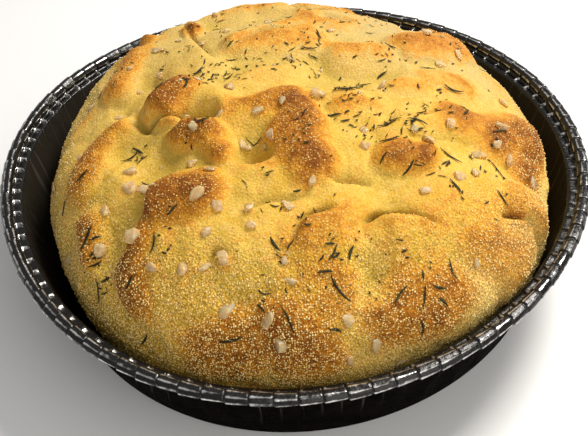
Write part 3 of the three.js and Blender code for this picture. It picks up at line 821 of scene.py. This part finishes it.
def make_herbs(crust, dice, material):
    """A needle in the place of each of the CAD part's needles, the smaller ones, and flakes."""
    for node in sorted(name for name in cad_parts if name.startswith("herb_")):
        corners = read_vectors(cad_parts[node].data, "co") / MM
        centre = corners.mean(0)
        start = corners[np.argmax(np.linalg.norm(corners - centre, axis=1))]
        end = corners[np.argmax(np.linalg.norm(corners - start, axis=1))]
        width = dice.uniform(0.5, 0.9)
        curl = dice.uniform(0, 0.7)
        points, faces = needle_mesh(crust, bowed(start, centre, end), width, 0.22, curl)
        finish(make_mesh(node.replace("herb", "herb_needle"), points, [faces]), material, "herb", node)
    small = []
    for x, y, length, heading in SMALL_HERBS:
        route = line_route(crust, x, y, length, math.radians(heading), dice.normal(0, 0.3))
        small.append(needle_mesh(crust, route, dice.uniform(0.45, 0.9), 0.2, dice.uniform(0, 0.5), 6))
    for x, y, spread, count in PINCHES:
        for _ in range(count):
            place = np.array([x, y]) + dice.normal(0, 0.5 * spread, 2)
            if np.hypot(*(place - LOAF_CENTRE)) > FLAKES_WITHIN:
                continue
            length = dice.choice([0.9, 1.4, 2.0, 3.2]) * dice.uniform(0.7, 1.2)
            route = line_route(crust, *place, length, dice.normal(0.2, 0.8), dice.normal(0, 0.3))
            small.append(needle_mesh(crust, route, dice.uniform(0.3, 0.75), 0.16, dice.uniform(0, 0.4), 3))
    finish_joined("rubbed_herbs", small, material, "herb")


def finish_joined(name, parts, material, slot):
    """Makes one piece of several bodies and finishes it."""
    points, faces, start = [], [], 0
    for own_points, own_faces in parts:
        points.append(own_points)
        faces.extend(tuple(start + k for k in face) for face in own_faces)
        start += len(own_points)
    finish(make_mesh(name, np.vstack(points), [faces]), material, slot)


def finish(piece, material, slot, *nodes):
    """Gives a piece its material and its place in the frame."""
    piece.data.materials.append(material)
    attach(piece, "root")
    if nodes:
        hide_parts(*nodes)


# ---- materials ----
CRUST_GOLD = (0.63, 0.36, 0.034)  # the ground, blotched with the next
CRUST_YELLOW = (0.75, 0.505, 0.090)
CRUST_CREAM = (0.85, 0.62, 0.21)  # mottling
CRUST_DULL_AND_SHADED = (0.49, 0.37, 0.150)  # towards the back: partly the crust's own duller tone, partly painted shade on the back right
CRUST_HOLLOW_SHADE = (0.48, 0.33, 0.045)  # painted olive shade in the hollows
CRUST_FLOUR = (1.0, 0.78, 0.30)
# painted light for the low front right edge
CRUST_EDGE_LIGHT = (1.0, 0.80, 0.30)
# painted shade in the crust's fine pores
CRUST_PORE_SHADE = (0.30, 0.14, 0.012)
CRUST_FLECK = (0.18, 0.09, 0.015)
CRUST_FOLD_SHADE = (0.09, 0.045, 0.006)  # painted shade at the bottom of a fold

# Steps of browning: where each starts and is full, its strength, and its colour.
BROWNING = (
    (0.05, 0.6, 0.8, (0.68, 0.29, 0.020)),
    (0.4, 1.0, 0.85, (0.42, 0.145, 0.008)),
    (0.9, 1.5, 0.9, (0.19, 0.05, 0.003)),
)

GRAIN_DEEP = (0.90, 0.58, 0.14)
GRAIN_LIGHT = (1.0, 0.84, 0.40)
GRAIN_TOASTED = (0.70, 0.36, 0.07)
WALL_DARK = (0.0018, 0.0013, 0.0009)
WALL_LIGHT = (0.005, 0.0037, 0.0027)
WALL_INSIDE = (0.022, 0.018, 0.013)
# painted highlight on the wall's creases
WALL_SEAM_HIGHLIGHT = (0.09, 0.078, 0.065)
RIM_LACQUER = (0.04, 0.039, 0.038)
RIM_BARE = (0.72, 0.71, 0.69)  # where the lacquer is rubbed off
SALT_OILY = (0.84, 0.57, 0.26)
SALT_CLEAR = (0.98, 0.81, 0.50)
HERB_DARK = (0.012, 0.013, 0.003)
HERB_LIGHT = (0.045, 0.046, 0.012)


class Nodes:
    """Short calls for building a material's nodes."""

    def __init__(self, name):
        self.material = bpy.data.materials.new(name)
        self.material.use_nodes = True
        self.tree = self.material.node_tree
        self.shader = self.tree.nodes["Principled BSDF"]
        self.place = self.tree.nodes.new("ShaderNodeTexCoord").outputs["Object"]

    def node(self, kind, **values):
        made = self.tree.nodes.new(kind)
        for key, value in values.items():
            setattr(made, key, value)
        return made

    def feed(self, socket, value):
        if isinstance(value, bpy.types.NodeSocket):
            self.tree.links.new(value, socket)
        else:
            socket.default_value = value

    def noise(self, size, detail=3.0, roughness=0.5, place=None):
        made = self.node("ShaderNodeTexNoise")
        self.feed(made.inputs["Vector"], place or self.place)
        self.feed(made.inputs["Scale"], 1 / (size * MM))
        self.feed(made.inputs["Detail"], detail)
        self.feed(made.inputs["Roughness"], roughness)
        return made.outputs["Fac"]

    def cells(self, size, feature="F1", output="Distance"):
        made = self.node("ShaderNodeTexVoronoi", feature=feature)
        self.feed(made.inputs["Vector"], self.place)
        self.feed(made.inputs["Scale"], 1 / (size * MM))
        return made.outputs[output]

    def value(self, name):
        return self.node("ShaderNodeAttribute", attribute_name=name).outputs["Fac"]

    def math(self, operation, *values):
        made = self.node("ShaderNodeMath", operation=operation)
        for socket, value in zip(made.inputs, values):
            self.feed(socket, value)
        return made.outputs[0]

    def span(self, value, low, high, start=0.0, end=1.0):
        made = self.node("ShaderNodeMapRange", interpolation_type="SMOOTHSTEP")
        names = ("Value", "From Min", "From Max", "To Min", "To Max")
        for key, number in zip(names, (value, low, high, start, end)):
            self.feed(made.inputs[key], number)
        return made.outputs["Result"]

    def mix(self, share, first, second, blend="MIX"):
        made = self.node("ShaderNodeMix", data_type="RGBA", blend_type=blend)
        self.feed(made.inputs[0], share)
        for socket, value in ((made.inputs[6], first), (made.inputs[7], second)):
            self.feed(socket, value if isinstance(value, bpy.types.NodeSocket) else (*value, 1.0))
        return made.outputs[2]

    def grey(self, value):
        made = self.node("ShaderNodeCombineColor")
        for socket in made.inputs[:3]:
            self.feed(socket, value)
        return made.outputs[0]

    def bump(self, height, depth, strength=1.0):
        made = self.node("ShaderNodeBump")
        self.feed(made.inputs["Height"], height)
        self.feed(made.inputs["Distance"], depth * MM)
        self.feed(made.inputs["Strength"], strength)
        return made.outputs["Normal"]

    def set(self, **values):
        for key, value in values.items():
            name = key.replace("_", " ").title().replace("Ior", "IOR")
            socket = self.shader.inputs[name]
            if isinstance(value, tuple) and socket.type == "RGBA":
                value = (*value, 1.0)
            self.feed(socket, value)
        return self.material


def crust_material():
    """Golden crust: amber to dark brown where the oven caught it, with painted olive shade in its hollows,
    painted shade in its pores and folds and painted glints in its speckle; duller and darker towards the
    back and right, partly its own tone and partly painted shade, and painted light low on the front right
    side."""
    m = Nodes("baked_crust")
    blotch = m.noise(12, 5, 0.65)
    mottle = m.noise(3.4, 5, 0.7)
    speck = m.noise(0.9, 3, 0.65)
    grain = m.cells(0.95)
    fleck = m.cells(2.1)
    gold = m.mix(m.span(blotch, 0.35, 0.65), CRUST_GOLD, CRUST_YELLOW)
    gold = m.mix(m.span(mottle, 0.45, 0.7, 0.0, 0.55), gold, CRUST_CREAM)
    # duller towards the back and right: partly the crust's tone, partly painted shade
    gold = m.mix(m.value("dull_and_shaded"), gold, CRUST_DULL_AND_SHADED)
    cavity = m.value("cavity")
    # painted olive shade where the crust lies lower than the crust around it
    gold = m.mix(m.span(cavity, -0.3, -2.5, 0.0, 0.6), gold, CRUST_HOLLOW_SHADE)
    ragged = m.math("MULTIPLY_ADD", m.math("SUBTRACT", mottle, 0.5), 1.5, m.value("browned"))
    ragged = m.math("MULTIPLY_ADD", m.math("SUBTRACT", blotch, 0.5), 1.8, ragged)
    ragged = m.math("MULTIPLY_ADD", cavity, 0.07, ragged)
    ragged = m.math("MULTIPLY_ADD", m.math("SUBTRACT", speck, 0.5), 0.6, ragged)
    colour = gold
    for low, high, strength, shade in BROWNING:
        colour = m.mix(m.span(ragged, low, high, 0.0, strength), colour, shade)
    coarse = m.value("coarse")
    dusting = m.math("MULTIPLY", m.span(grain, 0.32, 0.16), m.span(coarse, 0.0, 1.0, 0.25, 0.75))
    colour = m.mix(dusting, colour, CRUST_FLOUR)
    # painted light low on the front right edge
    colour = m.mix(m.math("MULTIPLY", m.value("painted_edge_light"), 0.5), colour, CRUST_EDGE_LIGHT)
    # painted shade in the fine dips of the bump, the crust's pores
    pore_shade = m.math("MULTIPLY", m.span(speck, 0.45, 0.3), m.span(coarse, 0.0, 1.0, 0.25, 0.65))
    colour = m.mix(pore_shade, colour, CRUST_PORE_SHADE)
    colour = m.mix(m.span(fleck, 0.12, 0.07, 0.0, 0.6), colour, CRUST_FLECK)
    # fine speckle multiplied into the colour, strongest where the crust is coarse: partly the crust's own
    # speckle, partly painted glints of oil
    speckle_and_glint = m.math("SUBTRACT", m.noise(0.62, 2, 0.7), 0.5)
    speckle_and_glint = m.math("MULTIPLY_ADD", speckle_and_glint, m.span(coarse, 0.0, 1.0, 0.9, 3.0), 1.02)
    colour = m.mix(1.0, colour, m.grey(speckle_and_glint), "MULTIPLY")
    relief = m.math("ADD", m.math("MULTIPLY", grain, -0.9), m.math("MULTIPLY", speck, 1.4))
    normal = m.bump(relief, 0.5, m.span(coarse, 0.0, 1.0, 0.4, 1.0))
    # painted shade along the bottom of the folds
    colour = m.mix(m.math("MULTIPLY", m.value("fold_shade"), 0.9), colour, CRUST_FOLD_SHADE)
    return m.set(base_color=colour, roughness=0.65, normal=normal, specular_ior_level=0.15)


def grain_material():
    m = Nodes("semolina")
    tint = m.noise(1.1, 2)
    colour = m.mix(m.span(tint, 0.35, 0.65), GRAIN_DEEP, GRAIN_LIGHT)
    colour = m.mix(m.span(m.noise(11, 3), 0.45, 0.7, 0.0, 0.4), colour, GRAIN_TOASTED)
    return m.set(base_color=colour, roughness=0.25, normal=m.bump(m.noise(0.3, 2), 0.05, 0.5))


def pan_material():
    """Black lacquered foil: glossy on the rolled rim, where it is rubbed lighter, dull on the wall, with
    painted highlight along the wall's creases.
    """
    m = Nodes("black_foil")
    rim = m.value("rim")
    rubbed = m.math("MULTIPLY_ADD", m.math("SUBTRACT", m.noise(1.7, 3), 0.5), 0.8, m.value("proud"))
    smear = m.noise(7, 4, 0.6)
    wall = m.mix(m.span(smear, 0.35, 0.7), WALL_DARK, WALL_LIGHT)
    roll = m.mix(m.span(rubbed, 0.3, 0.8), RIM_LACQUER, RIM_BARE)
    wall = m.mix(m.value("inside"), wall, WALL_INSIDE)
    # painted highlight along the creases that run down the wall from the crimps
    seam_highlight = m.span(m.value("proud"), 0.2, 0.8, 0.0, 0.45)
    colour = m.mix(rim, m.mix(seam_highlight, wall, WALL_SEAM_HIGHLIGHT), roll)
    scuffs = m.span(m.noise(0.8, 2), 0.3, 0.7, 0.16, 0.34)
    dull = m.math("MULTIPLY_ADD", m.math("SUBTRACT", 1.0, rim), 0.3, scuffs)
    normal = m.bump(m.noise(2.4, 3), 0.3, 0.7)
    return m.set(base_color=colour, roughness=dull, metallic=m.span(rim, 0.0, 1.0, 0.0, 0.85), normal=normal,
                 specular_ior_level=0.05, ior=1.15)


def salt_material():
    """Cloudy rock salt that has taken up a little oil."""
    m = Nodes("rock_salt")
    cloud = m.noise(1.6, 4, 0.6)
    colour = m.mix(m.span(cloud, 0.35, 0.65), SALT_OILY, SALT_CLEAR)
    normal = m.bump(m.noise(0.6, 3), 0.15, 0.6)
    return m.set(base_color=colour, roughness=m.span(cloud, 0.3, 0.7, 0.08, 0.22), normal=normal,
                 transmission_weight=0.5, ior=1.25, subsurface_weight=0.5, subsurface_scale=0.002,
                 subsurface_radius=(1.0, 0.8, 0.55))


def herb_material():
    m = Nodes("dried_herb")
    colour = m.mix(m.span(m.noise(1.6, 3), 0.35, 0.65), HERB_DARK, HERB_LIGHT)
    normal = m.bump(m.noise(0.6, 3), 0.1, 0.6)
    return m.set(base_color=colour, roughness=0.7, specular_ior_level=0.25, normal=normal)


# ---- build ----
FLOOR_SIDE = 6000
WORLD_STRENGTH = 0.37
LIGHTS_AIM = (0, 0, 0.04)


def place_camera():
    data = bpy.data.cameras.new("camera")
    data.lens = CAMERA_LENS
    data.shift_x = CAMERA_SHIFT
    camera = bpy.data.objects.new("camera", data)
    camera.location = Vector(CAMERA_PLACE) * MM
    tilt = Euler((math.radians(90 - CAMERA_DIP), 0, 0)).to_matrix()
    roll = Matrix.Rotation(math.radians(CAMERA_ROLL), 3, "Z")
    camera.rotation_euler = (tilt @ roll).to_euler()
    bpy.context.scene.collection.objects.link(camera)
    bpy.context.scene.camera = camera


def area_light(name, place, size, power, colour):
    """A square light in metres and watts, aimed at the object's middle."""
    data = bpy.data.lights.new(name, "AREA")
    data.size = size
    data.energy = power
    data.color = colour
    light = bpy.data.objects.new(name, data)
    light.location = place
    light.rotation_euler = (Vector(LIGHTS_AIM) - Vector(place)).to_track_quat("-Z", "Y").to_euler()
    bpy.context.scene.collection.objects.link(light)


def make_stage():
    half = FLOOR_SIDE / 2
    corners = [(-half, -half, 0), (half, -half, 0), (half, half, 0), (-half, half, 0)]
    floor = make_mesh("floor", corners, [[(0, 1, 2, 3)]])
    m = Nodes("floor_paint")
    floor.data.materials.append(m.set(base_color=(0.85, 0.85, 0.85), roughness=0.6))
    world = bpy.data.worlds.new("studio")
    world.use_nodes = True
    background = world.node_tree.nodes["Background"]
    background.inputs["Color"].default_value = (1, 1, 1, 1)
    background.inputs["Strength"].default_value = WORLD_STRENGTH
    bpy.context.scene.world = world
    area_light("key", (0.38, 0.28, 0.68), 0.3, 7.8, (1.0, 0.96, 0.9))
    area_light("fill", (0.35, -0.62, 0.5), 0.8, 3.0, (1.0, 0.96, 0.88))
    bpy.context.scene.view_settings.view_transform = "Standard"


place_camera()
make_stage()
loaf = make_crust()
finish(loaf, crust_material(), "crust", "loaf")
finish(make_pan(), pan_material(), "pan_foil", "pan")
crust = Crust(loaf)
dice = np.random.default_rng(7)
make_grains(loaf, dice, grain_material())
make_salt(crust, dice, salt_material())
make_herbs(crust, dice, herb_material())
